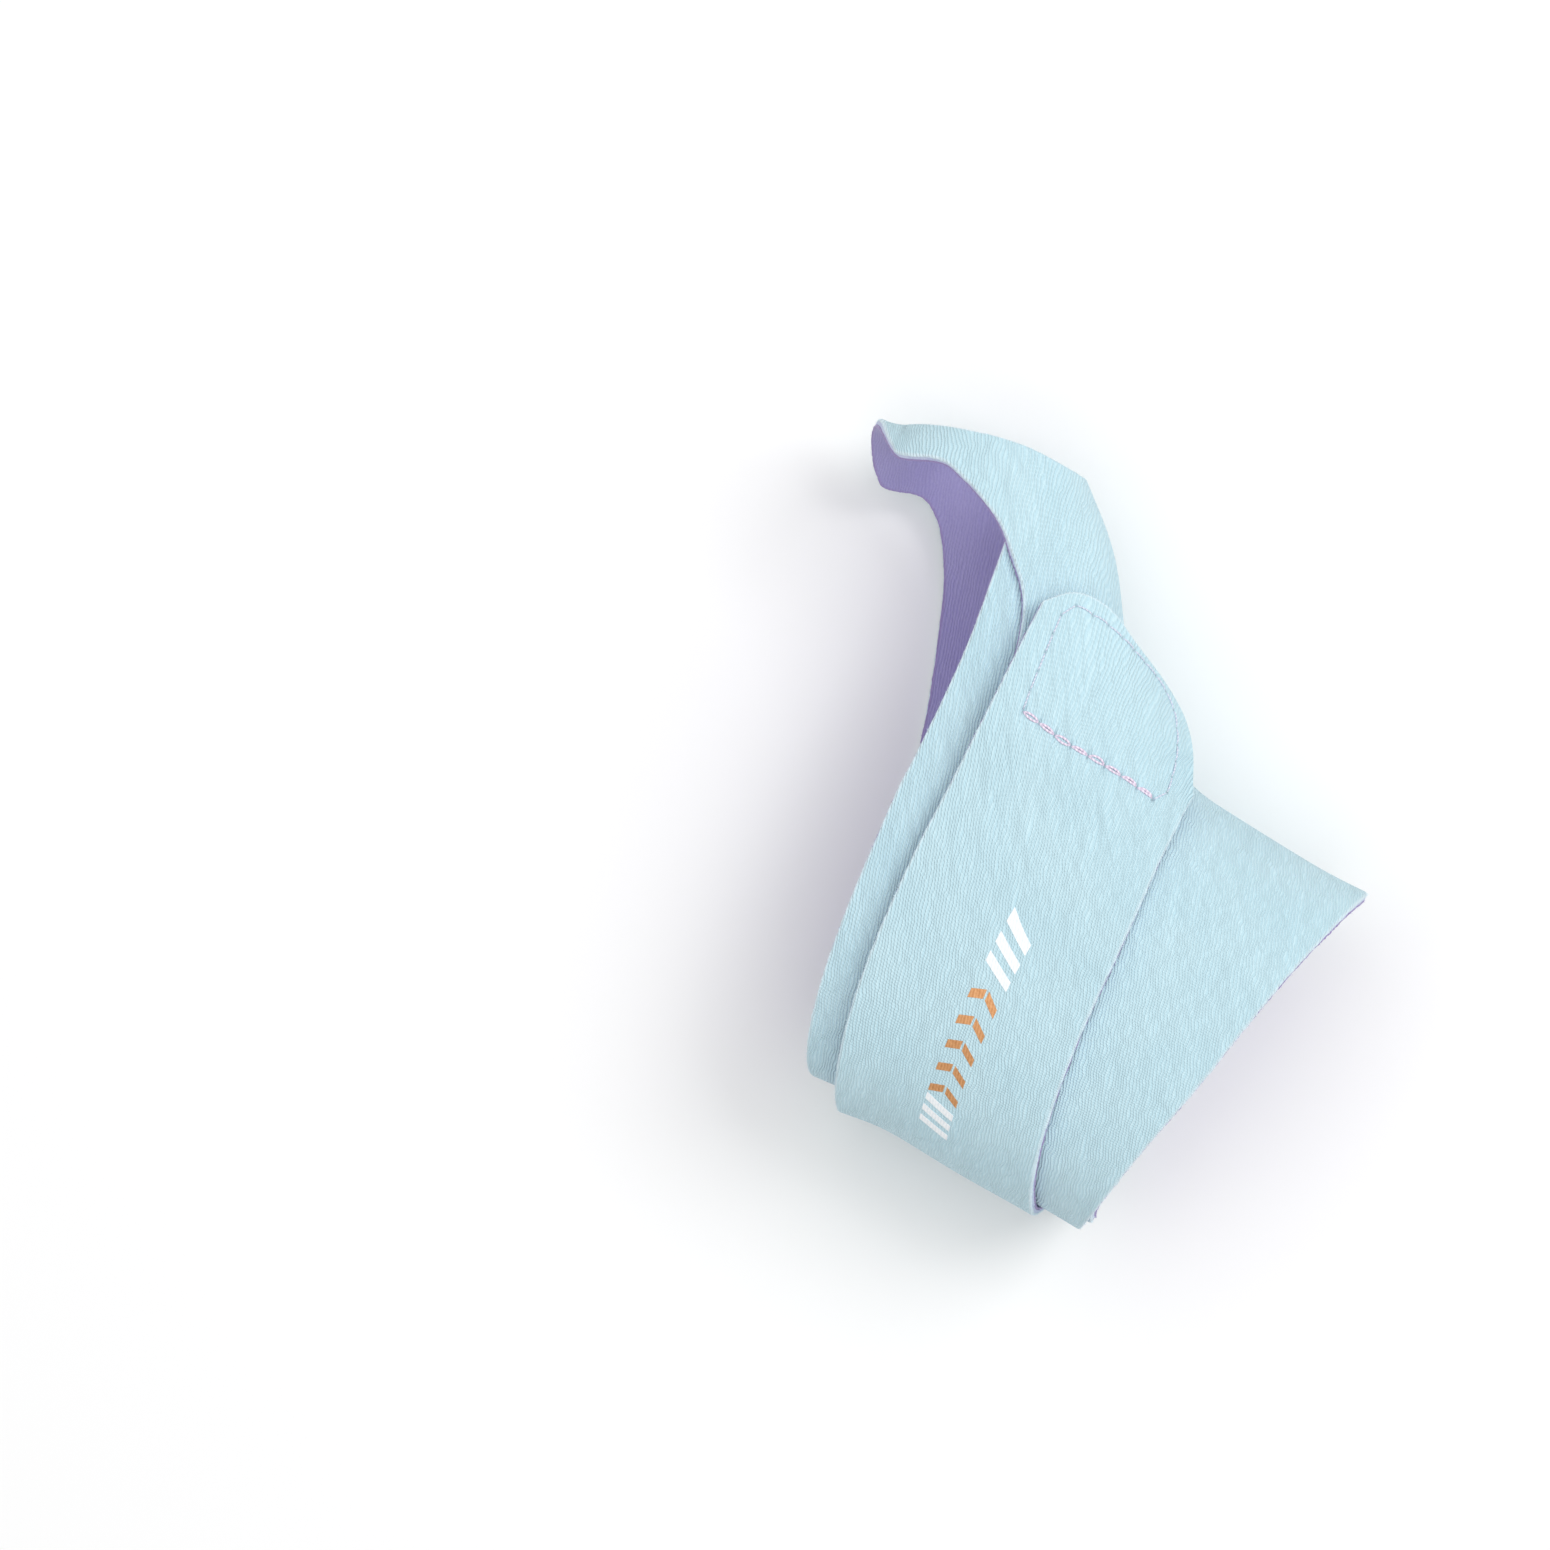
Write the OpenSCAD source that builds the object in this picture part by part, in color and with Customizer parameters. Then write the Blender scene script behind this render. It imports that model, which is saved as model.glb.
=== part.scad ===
// Soft laminated wrist wrap with a thumb opening and a hook tab, shaped as worn on a left hand.
// +X is the thumb side, +Y the fingers, +Z the back of the hand. The palm side rests flat on z = 0.
// The cloth is one long spiral. A place on it is (turn, y): turn is the winding angle in degrees
// from the hidden inner end, y the place across the cloth.

/* [Laminate] */
// thickness of the knit cover, the outer ply
cover_t = 0.5; // [0.4:0.05:0.6]
// thickness of the foam core between the knits
core_t = 0.5; // [0.4:0.05:0.8]
// thickness of the lining, the ply on the skin
lining_t = 0.4; // [0.3:0.05:0.5]
// air left between one turn of the cloth and the next
turn_air = 0.2; // [0.2:0.05:0.4]
// air left under the strap that lifts
strap_air = 0.4; // [0.35:0.05:0.6]

/* [Wrist] */
// width of the wrist and hand, as a factor of the medium size
hand_width = 1.0; // [0.94:0.01:1.08]
// thickness of the wrist and hand, as a factor of the medium size
hand_depth = 1.0; // [0.94:0.01:1.08]

/* [Thumb opening] */
// y of the edge of the opening nearest the wrist
thumb_y0 = 38.4; // [36:0.2:40]
// y of the edge of the opening at the web of the thumb
thumb_y1 = 60.6; // [58:0.2:62]

/* [Hook tab] */
// height of the engaged hooks
hook_h = 0.7; // [0.6:0.05:1.2]
// thickness of the woven backing of the hooks
backing_t = 0.5; // [0.4:0.05:0.8]
// how far the tip of the tab stands off the wrist
tip_lift = 1.3; // [0.4:0.1:2]
// length of one stitch of the patch outline
stitch_len = 2.9; // [2:0.1:4]
// thickness of the sewing thread
thread_d = 0.28; // [0.2:0.02:0.4]

/* [Print] */
// number of slanted bars in each white group
white_bars = 3; // [1:1:4]
// number of copper chevrons between the white groups
copper_marks = 5; // [3:1:6]
// thickness of the transfer print
print_t = 0.08; // [0.05:0.01:0.15]

/* [Hidden] */
// One STEP file is made per name.

laminate_t = cover_t + core_t + lining_t;
pitch = laminate_t + turn_air;
palm_z = pitch + laminate_t;      // skin height over the rest plane, with two turns between
tab_rise = hook_h + backing_t + 0.1;  // room for the patch, 0.4 mm off the wrap
hinge_turn = 763.35;              // where the strap leaves the wrap
hinge_gap = 0.35;                 // half the cut at a hinge, in degrees of turn
exponent = 2 / 2.3;               // squareness of the wrist section
float_h = 0.1;                    // stitches and print clear the facets of the cover by this

aqua = [0.66, 0.85, 0.89];
lavender = [0.60, 0.58, 0.80];
foam = [0.80, 0.86, 0.90];
thread_col = [0.93, 0.86, 0.90];

// ---- wrist and hand ----
// y, thumb-side x, little-finger-side x, palm rise, height of the back of the hand
sections = [[-32, 29.6, -26.4, 0.0, 38.2], [-20, 28.4, -27.0, 0.0, 37.6], [-8, 27.8, -27.7, 0.0, 36.8],
            [2, 28.7, -28.4, 0.0, 35.9], [11, 33.1, -29.1, 0.0, 35.0], [20, 39.6, -30.9, 0.0, 34.2],
            [29, 49.5, -32.6, 0.0, 33.3], [thumb_y0, 56.4, -33.6, 0.2, 32.3],
            [46, 62.0, -34.3, 0.8, 31.4], [53, 60.0, -34.9, 1.6, 30.6],
            [thumb_y1, 48.6, -35.5, 2.6, 29.6], [74, 46.4, -36.5, 4.5, 28.2]];
rim_x0 = 56.4;                    // skin x of the opening at thumb_y0 and at thumb_y1
rim_x1 = 48.6;
rim_bow = 2.6;                    // how far the rim bows out between them
patch_gap = 0.1;                  // between the lining and the patch

// ---- edges of the cloth along the spiral ----
// nominal turn, turn of the point on the finger-side edge, its y
finger_edge = [[-2, -2, 19.5], [27, 27, 22.3], [54, 54, 25.7], [84, 84, 30.2], [100, 100, 32.6],
               [116, 116, 35.1], [135, 135, 37.7], [152, 152, 41], [162, 162, 42.5], [172, 172, 41.8],
               [184, 184, 38.8], [205, 205, 34.5],
               [235, 235, 33.5], [295, 295, 29], [345, 345, 19], [385, 385, 14], [420, 420, 16.5],
               [444, 444, 20.1], [456, 459.5, 22.6], [466, 474.5, 25.4], [475, 488.5, 28.3],
               [484, 501, 31], [493, 509, 33.5], [502, 513.3, 36.6], [511, 514.4, 41.4],
               [520, 515, 46.6], [529, 518.8, 51.4], [538, 527, 55.8], [547, 538, 59.8],
               [556, 551, 63.4], [565, 565, 65.4], [574, 578, 65.2], [583, 589.5, 63.4],
               [592, 600, 60.4], [601, 609.5, 56.6], [610, 618, 52.2], [619, 626, 47.7],
               [628, 633.5, 43.3], [637, 641, 39.3], [646, 648.5, 35.9], [655, 656.5, 32.9], [690, 690, 26],
               [720, 720, 19.5], [745, 745, 17.2], [762, 762, 18.5], [800, 800, 23.6],
               [824.5, 824.5, 27], [857.5, 857.5, 31.1], [875, 875, 33.2], [912, 912, 36.5]];
// turn, y of the point on the forearm-side edge
arm_edge = [[-2, -22.6], [27, -22.2], [57, -20.4], [84, -20.6], [116, -22], [142, -23.6], [168, -25.4],
            [205, -27], [295, -24], [350, -22.4], [390, -21.2], [417, -20.9], [444, -21.3], [476, -23.05],
            [502, -24.6], [528, -26.7], [555, -28.7], [575, -28.8], [620, -25], [655, -22], [700, -18.4],
            [745, -14.8], [761, -13.3], [777, -11.2], [803, -7.8], [824, -5.4], [846, -3.2], [863, -1.7],
            [885, 0], [912, 2.2]];
// place across the tab from the forearm side, its reach past the fold in degrees of turn
tab_reach = [[0, 7.5], [0.05, 14], [0.135, 26.4], [0.19, 32.2], [0.25, 36], [0.39, 37.3], [0.54, 35.3],
             [0.67, 32.2], [0.75, 31], [0.835, 29.1], [0.92, 26.3], [1, 21]];
patch_reach = [[0, 8], [0.06, 14.5], [0.11, 21.8], [0.165, 28.3], [0.236, 33.2], [0.32, 35.3],
               [0.42, 35.6], [0.524, 34.2], [0.645, 31.6], [0.78, 29.2], [0.89, 27], [0.96, 25.8], [1, 22]];

// ---- smooth curve through a list of stations ----
function slope(s, i, c) = let (a = max(i - 1, 0), b = min(i + 1, len(s) - 1))
    (s[b][c] - s[a][c]) / (s[b][0] - s[a][0]);
function span_of(s, at, i = 0) = i >= len(s) - 2 || at < s[i + 1][0] ? i : span_of(s, at, i + 1);
function curve(s, at, c = 1) =
    let (i = span_of(s, at), h = s[i + 1][0] - s[i][0], u = (at - s[i][0]) / h,
         p = s[i][c], q = s[i + 1][c], dp = slope(s, i, c) * h, dq = slope(s, i + 1, c) * h)
    u < 0 ? p + dp * u : u > 1 ? q + dq * (u - 1)
    : p + u * (dp + u * (3 * (q - p) - 2 * dp - dq + u * (2 * (p - q) + dp + dq)));
function step01(x) = let (u = min(max(x, 0), 1)) u * u * (3 - 2 * u);
function ramp(x, a, b) = step01((x - a) / (b - a));
function mix(a, b, u) = a + (b - a) * u;
function smooth_max(a, b, k) = let (h = max(k - abs(a - b), 0) / k) max(a, b) + h * h * k / 4;
function rounded(c) = sign(c) * pow(abs(c), exponent);
function unit(v) = v / norm(v);

// ---- skin surface; t is 0 at the thumb side, 90 on the back, 180 little finger, 270 palm ----
function skin(t, y) =
    let (x1 = curve(sections, y, 1) * hand_width, x0 = curve(sections, y, 2) * hand_width,
         zb = palm_z + curve(sections, y, 3), zt = palm_z + curve(sections, y, 4) * hand_depth,
         zm = (zb + zt) / 2, s = rounded(sin(t)))
    [(x0 + x1) / 2 + (x1 - x0) / 2 * rounded(cos(t)), y,
     s >= 0 ? zm + (zt - zm) * s : smooth_max(zm + (zm - zb) / 0.918 * s, zb, 0.8)];
function outward(t, y) =
    unit(cross(skin(t, y + 0.4) - skin(t, y - 0.4), skin(t + 1.5, y) - skin(t - 1.5, y)));

// ---- the spiral: height of the lining's skin side over the skin ----
function level(turn) = pitch * (ramp(turn, 325, 355) + ramp(turn, 685, 715))
    + (strap_air - turn_air) * ramp(turn, 735, 760);
function t_of(turn) = 205 - turn;
// a frame at a place: [point on the skin, outward direction, height of the cloth there]
function place(p, lift = 0) = [skin(t_of(p[0]), p[1]), outward(t_of(p[0]), p[1]), level(p[0]) + lift];
function over(f, h) = f[0] + f[1] * (f[2] + h);

// ---- wrap: a grid of places with the thumb opening cut out of it ----
wrap_n = 85;
wrap_m = 15;
seam_i = 63;                      // column on the axis of the thumb opening
hole_half = 4;
hole = [seam_i - hole_half, seam_i + hole_half, 12, 13];
rim_corner = 10;                  // half the angle that each side of the block takes of the rim
seam_turn = 565;
turn_step = 9;
function nominal(i) = seam_turn + turn_step * (i - seam_i);
function arm_point(turn) = [turn, curve(arm_edge, turn)];
function finger_point(turn) = [curve(finger_edge, turn, 1), curve(finger_edge, turn, 2)];
function straight(i, j) = mix(arm_point(nominal(i)), finger_point(nominal(i)), j / wrap_m);
// half opening at y, where the flat rim line crosses the section
function half_open(y) =
    let (x1 = curve(sections, y, 1), x0 = curve(sections, y, 2),
         f = (y - thumb_y0) / (thumb_y1 - thumb_y0),
         rim = mix(rim_x0, rim_x1, f) + rim_bow * 4 * f * (1 - f),
         c = ((rim - (x0 + x1) / 2) / ((x1 - x0) / 2)))
    acos(pow(min(c, 1), 1 / exponent));
function rim_point(a) =
    let (y = (thumb_y0 + thumb_y1) / 2 + (thumb_y1 - thumb_y0) / 2 * sin(a))
    [seam_turn + sign(round(cos(a) * 1e6)) * half_open(y), y];
function near_hole(i, j) =
    let (u = (i - hole[0]) / (hole[1] - hole[0]))
    let (k = rim_corner, run = (180 - 2 * k) * u)
    j <= hole[2] ? mix(arm_point(nominal(i)), rim_point(180 + k + run), j / hole[2])
    : j >= hole[3] ? mix(rim_point(180 - k - run), finger_point(nominal(i)),
                         (j - hole[3]) / (wrap_m - hole[3]))
    : let (w = (j - hole[2]) / (hole[3] - hole[2]))
      rim_point(2 * i < hole[0] + hole[1] ? 180 + k - 2 * k * w : 2 * k * w - k);
function wrap_place(i, j) =
    i >= hole[0] && i <= hole[1] ? near_hole(i, j)
    : let (e = i < hole[0] ? hole[0] : hole[1], fade = 1 - step01(abs(i - e) / 7))
      straight(i, j) + (near_hole(e, j) - straight(e, j)) * fade;
wrap_frames = [for (i = [0:wrap_n]) [for (j = [0:wrap_m]) place(wrap_place(i, j))]];

// ---- strap and tab ----
function fold_turn(v) = 884 - 21.5 * v - 21.6 * v * v + 11.6 * v * v * v;
function rise(past) = tab_rise * ramp(past, -15, -1);
function across(turn, v) = [turn, mix(curve(arm_edge, turn), curve(finger_edge, turn, 2), v)];
function strap_frame(u, v) =
    let (turn = mix(hinge_turn + hinge_gap, fold_turn(v) - hinge_gap, u))
    place(across(turn, v), rise(turn - fold_turn(v)));
function tab_frame(past, v) =
    place(across(fold_turn(v) + past, v),
          rise(past) + tip_lift * pow(max(past, 0) / curve(tab_reach, v), 2));
strap_n = 13;
strap_m = 6;
strap_frames = [for (i = [0:strap_n]) [for (j = [0:strap_m]) strap_frame(i / strap_n, j / strap_m)]];
tab_n = 8;
tab_m = 10;
function eased(j, m) = (1 - cos(180 * j / m)) / 2;
tab_frames = [for (i = [0:tab_n]) [for (j = [0:tab_m]) let (v = eased(j, tab_m))
    tab_frame(mix(hinge_gap, curve(tab_reach, v), i / tab_n), v)]];
patch_frames = [for (i = [0:tab_n]) [for (j = [0:tab_m])
    let (u = i / tab_n, w = eased(j, tab_m), v = mix(0.085, mix(0.885, 0.93, u), w))
    tab_frame(mix(1, curve(patch_reach, w), u), v)]];

// ---- closed shell between two heights over a grid of frames, with a block of cells left out ----
function in_block(i, j, b) = i >= b[0] && i < b[1] && j >= b[2] && j < b[3];
function border(n, m) = concat(
    [for (i = [0:n - 1]) [[i, 0], [i + 1, 0]]], [for (j = [0:m - 1]) [[n, j], [n, j + 1]]],
    [for (i = [n:-1:1]) [[i, m], [i - 1, m]]], [for (j = [m:-1:1]) [[0, j], [0, j - 1]]]);
function block_border(b) = concat(
    [for (j = [b[2]:b[3] - 1]) [[b[0], j], [b[0], j + 1]]],
    [for (i = [b[0]:b[1] - 1]) [[i, b[3]], [i + 1, b[3]]]],
    [for (j = [b[3]:-1:b[2] + 1]) [[b[1], j], [b[1], j - 1]]],
    [for (i = [b[1]:-1:b[0] + 1]) [[i, b[2]], [i - 1, b[2]]]]);
module ply(frames, low, high, block = [0, 0, 0, 0]) {
    n = len(frames) - 1;
    m = len(frames[0]) - 1;
    lower = (n + 1) * (m + 1);
    points = [for (h = [high, low]) for (row = frames) for (f = row) over(f, h)];
    cells = [for (i = [0:n - 1]) for (j = [0:m - 1]) if (!in_block(i, j, block))
        [i * (m + 1) + j, (i + 1) * (m + 1) + j, (i + 1) * (m + 1) + j + 1, i * (m + 1) + j + 1]];
    edges = concat(border(n, m), block[1] > block[0] ? block_border(block) : []);
    walls = [for (e = edges) [e[0][0] * (m + 1) + e[0][1], e[1][0] * (m + 1) + e[1][1]]];
    faces = concat(
        [for (c = cells) [c[0], c[2], c[1]]], [for (c = cells) [c[0], c[3], c[2]]],
        [for (c = cells) [c[0] + lower, c[1] + lower, c[2] + lower]],
        [for (c = cells) [c[0] + lower, c[2] + lower, c[3] + lower]],
        [for (w = walls) [w[1] + lower, w[0] + lower, w[0]]], [for (w = walls) [w[1] + lower, w[0], w[1]]]);
    polyhedron(points, faces);
}

module wrap_cover() color(aqua) ply(wrap_frames, lining_t + core_t, laminate_t, hole);
module wrap_core() color(foam) ply(wrap_frames, lining_t, lining_t + core_t, hole);
module wrap_lining() color(lavender) ply(wrap_frames, 0, lining_t, hole);
module strap_cover() color(aqua) ply(strap_frames, lining_t + core_t, laminate_t);
module strap_core() color(foam) ply(strap_frames, lining_t, lining_t + core_t);
module strap_lining() color(lavender) ply(strap_frames, 0, lining_t);
module tab_cover() color(aqua) ply(tab_frames, lining_t + core_t, laminate_t);
module tab_core() color(foam) ply(tab_frames, lining_t, lining_t + core_t);
module tab_lining() color(lavender) ply(tab_frames, 0, lining_t);
module hook_backing() color([0.86, 0.93, 0.95]) ply(patch_frames, -backing_t - patch_gap, -patch_gap);
module hook_field() color([0.90, 0.95, 0.97]) ply(patch_frames, -backing_t - hook_h - patch_gap, -backing_t - patch_gap);

// ---- stitching: spindles laid along a path of (reach past the fold, place across) ----
cross_path = [[1.3, 0.862], [1.4, 0.7], [1.5, 0.52], [1.6, 0.34], [1.7, 0.17]];
outline_path = [[1.6, 0.865], [6.2, 0.881], [14.3, 0.897], [21.2, 0.912], [24, 0.9], [25.2, 0.862],
                [25.7, 0.82], [28, 0.733], [31, 0.621], [33.4, 0.52], [34.7, 0.43], [34.2, 0.35],
                [31.4, 0.281], [25.5, 0.222], [19, 0.174], [8.8, 0.132], [4.6, 0.122], [2.4, 0.135],
                [1.7, 0.165]];
// place at a given fraction of the way along a path
function along(path, f) = let (k = f * (len(path) - 1), i = min(floor(k), len(path) - 2))
    mix(path[i], path[i + 1], k - i);
function top_point(q, h) = over(tab_frame(q[0], q[1]), laminate_t + h);
module stitch(a, b, w) {
    pa = top_point(a, float_h);
    pb = top_point(b, float_h);
    up = tab_frame(mix(a, b, 0.5)[0], mix(a, b, 0.5)[1])[1] * w;
    side = unit(cross(pb - pa, up)) * w * 0.7;
    ring = [for (f = [0.2, 0.8]) for (o = [side, up, -side, [0, 0, 0]]) mix(pa, pb, f) + o + up * 0.1];
    polyhedron(concat([pa], ring, [pb]),
        [[0, 2, 1], [0, 3, 2], [0, 4, 3], [0, 1, 4], [9, 5, 6], [9, 6, 7], [9, 7, 8], [9, 8, 5],
         [1, 2, 6], [1, 6, 5], [2, 3, 7], [2, 7, 6], [3, 4, 8], [3, 8, 7], [4, 1, 5], [4, 5, 8]]);
}
function path_len(path) = let (k = 24) [for (i = [0:k - 1])
    norm(top_point(along(path, (i + 1) / k), 0) - top_point(along(path, i / k), 0))];
function total(v, i = 0) = i == len(v) ? 0 : v[i] + total(v, i + 1);
module stitch_run(path, count, fill, w, shift = [0, 0])
    for (k = [0:count - 1])
        stitch(along(path, (k + 0.5 - fill / 2) / count) + shift,
               along(path, (k + 0.5 + fill / 2) / count) + shift, w);
module outline_stitching() color(thread_col)
    stitch_run(outline_path, round(total(path_len(outline_path)) / stitch_len), 0.74, thread_d);
module cross_stitching() color(thread_col) {
    count = round(total(path_len(cross_path)) / stitch_len);
    stitch_run(cross_path, count, 0.86, thread_d * 1.5);
    stitch_run(cross_path, count + 1, 0.6, thread_d, [1.7, 0]);
}

// ---- print: plates that follow the strap; x runs along it in degrees of turn, v across ----
print_v = [0.43, 0.575];
print_drop = 0.00125;             // its slant across the strap, per degree of turn
mark_w = 2.4;
slant = 2.2;
white_0 = 772;
white_step = 4.4;
copper_0 = white_0 + white_bars * white_step + 1;
copper_step = 7.2;
white_1 = copper_0 + copper_marks * copper_step;
function print_frame(turn, v) = place(across(turn, v), rise(turn - fold_turn(v)));
module plate(x, v0, v1, lean, w = mark_w)
    ply([for (u = [0, 0.5, 1]) [for (k = [0, 0.5, 1])
            let (turn = x + w * u + lean * k)
            print_frame(turn, mix(v0, v1, k) - print_drop * (turn - white_0))]],
        laminate_t + float_h, laminate_t + float_h + print_t);
module print_white() color([0.98, 0.98, 0.98])
    for (k = [0:white_bars - 1]) {
        plate(white_0 + k * white_step, print_v[0], print_v[1], slant);
        plate(white_1 + k * white_step, print_v[0], print_v[1], slant);
    }
module print_copper() color([0.80, 0.55, 0.36])
    for (k = [0:copper_marks - 1]) {
        mid = (print_v[0] + print_v[1]) / 2;
        plate(copper_0 + k * copper_step, print_v[0], mid - 0.006, slant);
        plate(copper_0 + k * copper_step + slant, mid + 0.006, print_v[1], -slant);
    }

wrap_cover();
wrap_core();
wrap_lining();
strap_cover();
strap_core();
strap_lining();
tab_cover();
tab_core();
tab_lining();
hook_backing();
hook_field();
outline_stitching();
cross_stitching();
print_white();
print_copper();
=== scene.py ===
"""Soft laminated wrist wrap: cloth, hook tab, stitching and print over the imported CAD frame.

The cloth follows the same spiral as the CAD part: a place on it is (turn, y), where turn is the
winding angle in degrees from the hidden inner end and y the place across the cloth. Shape
functions work in millimetres, and meshes are made in metres.
"""
import math

import bpy
import numpy as np
from mathutils import Matrix, Vector


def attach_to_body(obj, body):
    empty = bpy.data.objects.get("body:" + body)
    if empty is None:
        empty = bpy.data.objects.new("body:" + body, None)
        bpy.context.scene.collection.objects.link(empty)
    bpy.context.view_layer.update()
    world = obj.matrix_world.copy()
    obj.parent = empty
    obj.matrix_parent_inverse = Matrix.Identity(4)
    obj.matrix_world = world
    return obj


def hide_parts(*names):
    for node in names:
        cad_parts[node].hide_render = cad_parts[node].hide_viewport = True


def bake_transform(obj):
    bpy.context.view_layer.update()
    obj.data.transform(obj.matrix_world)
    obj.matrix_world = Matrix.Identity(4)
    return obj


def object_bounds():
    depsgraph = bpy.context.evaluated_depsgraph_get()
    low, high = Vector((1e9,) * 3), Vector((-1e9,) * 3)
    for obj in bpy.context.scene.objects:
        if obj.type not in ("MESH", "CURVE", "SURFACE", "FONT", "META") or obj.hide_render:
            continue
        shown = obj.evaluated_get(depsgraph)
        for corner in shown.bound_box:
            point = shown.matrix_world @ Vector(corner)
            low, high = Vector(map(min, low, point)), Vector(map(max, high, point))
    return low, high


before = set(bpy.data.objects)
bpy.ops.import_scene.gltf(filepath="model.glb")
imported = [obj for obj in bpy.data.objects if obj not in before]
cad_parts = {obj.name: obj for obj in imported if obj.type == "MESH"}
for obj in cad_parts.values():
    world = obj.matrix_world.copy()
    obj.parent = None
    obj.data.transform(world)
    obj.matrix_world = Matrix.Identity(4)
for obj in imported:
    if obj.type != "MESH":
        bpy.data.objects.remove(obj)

cad_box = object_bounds()
MM = 0.001
scene = bpy.context.scene
scene.view_settings.view_transform = "Standard"

# ---------------------------------------------------------------- dimensions, in mm, as in the CAD
COVER, CORE, LINING = 0.5, 0.5, 0.4
TURN_AIR, STRAP_AIR = 0.2, 0.4
THUMB_Y0, THUMB_Y1 = 38.4, 60.6
HOOK_H, BACKING, TIP_LIFT = 0.7, 0.5, 1.3
LAMINATE = COVER + CORE + LINING
PITCH = LAMINATE + TURN_AIR
PALM_Z = PITCH + LAMINATE
TAB_RISE = HOOK_H + BACKING + 0.1
STITCH_LEN, THREAD = 2.9, 0.28
THUMB_TURN = 205                    # winding angle on the thumb side, where a section's angle is 0
SECOND_LAP, THIRD_LAP = (325, 355), (685, 715)      # turns over which the cloth climbs a pitch
STRAP_LAP = (735, 760)
ROUNDNESS = 2.3                     # exponent of a section's curve, which is 2 for an ellipse
PALM_CUT, PALM_SOFT = 0.918, 0.8    # the palm's flat, as a share of the curve's depth, and its edge
RIB_SLANT = math.radians(24)        # of the knit's ribs from the X axis

# y, then where the section ends at the thumb, little finger, palm and back
SECTIONS = [[-32, 29.6, -26.4, 0.0, 38.2], [-20, 28.4, -27.0, 0.0, 37.6],
            [-8, 27.8, -27.7, 0.0, 36.8], [2, 28.7, -28.4, 0.0, 35.9],
            [11, 33.1, -29.1, 0.0, 35.0], [20, 39.6, -30.9, 0.0, 34.2],
            [29, 49.5, -32.6, 0.0, 33.3], [THUMB_Y0, 56.4, -33.6, 0.2, 32.3],
            [46, 62.0, -34.3, 0.8, 31.4], [53, 60.0, -34.9, 1.6, 30.6],
            [THUMB_Y1, 48.6, -35.5, 2.6, 29.6], [74, 46.4, -36.5, 4.5, 28.2]]
RIM_X0, RIM_X1, RIM_BOW = 56.4, 48.6, 2.6
PATCH_GAP = 0.1
# turn of the grid line, turn where it meets the edge, y
FINGER_EDGE = [[-2, -2, 19.5], [27, 27, 22.3], [54, 54, 25.7], [84, 84, 30.2], [100, 100, 32.6],
               [116, 116, 35.1], [135, 135, 37.7], [152, 152, 41],
               [162, 162, 42.5], [172, 172, 41.8], [184, 184, 38.8], [205, 205, 34.5],
               [235, 235, 33.5], [295, 295, 29], [345, 345, 19], [385, 385, 14], [420, 420, 16.5],
               [444, 444, 20.1], [456, 459.5, 22.6], [466, 474.5, 25.4], [475, 488.5, 28.3],
               [484, 501, 31], [493, 509, 33.5], [502, 513.3, 36.6], [511, 514.4, 41.4],
               [520, 515, 46.6], [529, 518.8, 51.4], [538, 527, 55.8], [547, 538, 59.8],
               [556, 551, 63.4], [565, 565, 65.4], [574, 578, 65.2], [583, 589.5, 63.4],
               [592, 600, 60.4], [601, 609.5, 56.6], [610, 618, 52.2], [619, 626, 47.7],
               [628, 633.5, 43.3], [637, 641, 39.3], [646, 648.5, 35.9], [655, 656.5, 32.9],
               [690, 690, 26], [720, 720, 19.5], [745, 745, 17.2],
               [762, 762, 18.5], [800, 800, 23.6], [824.5, 824.5, 27], [857.5, 857.5, 31.1], [875, 875, 33.2], [912, 912, 36.5]]
# turn, y
ARM_EDGE = [[-2, -22.6], [27, -22.2], [57, -20.4], [84, -20.6], [116, -22], [142, -23.6],
            [168, -25.4], [205, -27], [295, -24], [350, -22.4], [390, -21.2],
            [417, -20.9], [444, -21.3], [476, -23.05], [502, -24.6], [528, -26.7], [555, -28.7],
            [575, -28.8], [620, -25], [655, -22], [700, -18.4], [745, -14.8], [761, -13.3],
            [777, -11.2], [803, -7.8], [824, -5.4], [846, -3.2], [863, -1.7], [885, 0], [912, 2.2]]
# place across the tab, degrees past the fold
TAB_REACH = [[0, 7.5], [0.05, 14], [0.135, 26.4], [0.19, 32.2], [0.25, 36], [0.39, 37.3],
             [0.54, 35.3], [0.67, 32.2], [0.75, 31], [0.835, 29.1], [0.92, 26.3], [1, 21]]
PATCH_REACH = [[0, 8], [0.06, 14.5], [0.11, 21.8], [0.165, 28.3], [0.236, 33.2], [0.32, 35.3],
               [0.42, 35.6], [0.524, 34.2], [0.645, 31.6], [0.78, 29.2],
               [0.89, 27], [0.96, 25.8], [1, 22]]


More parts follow.
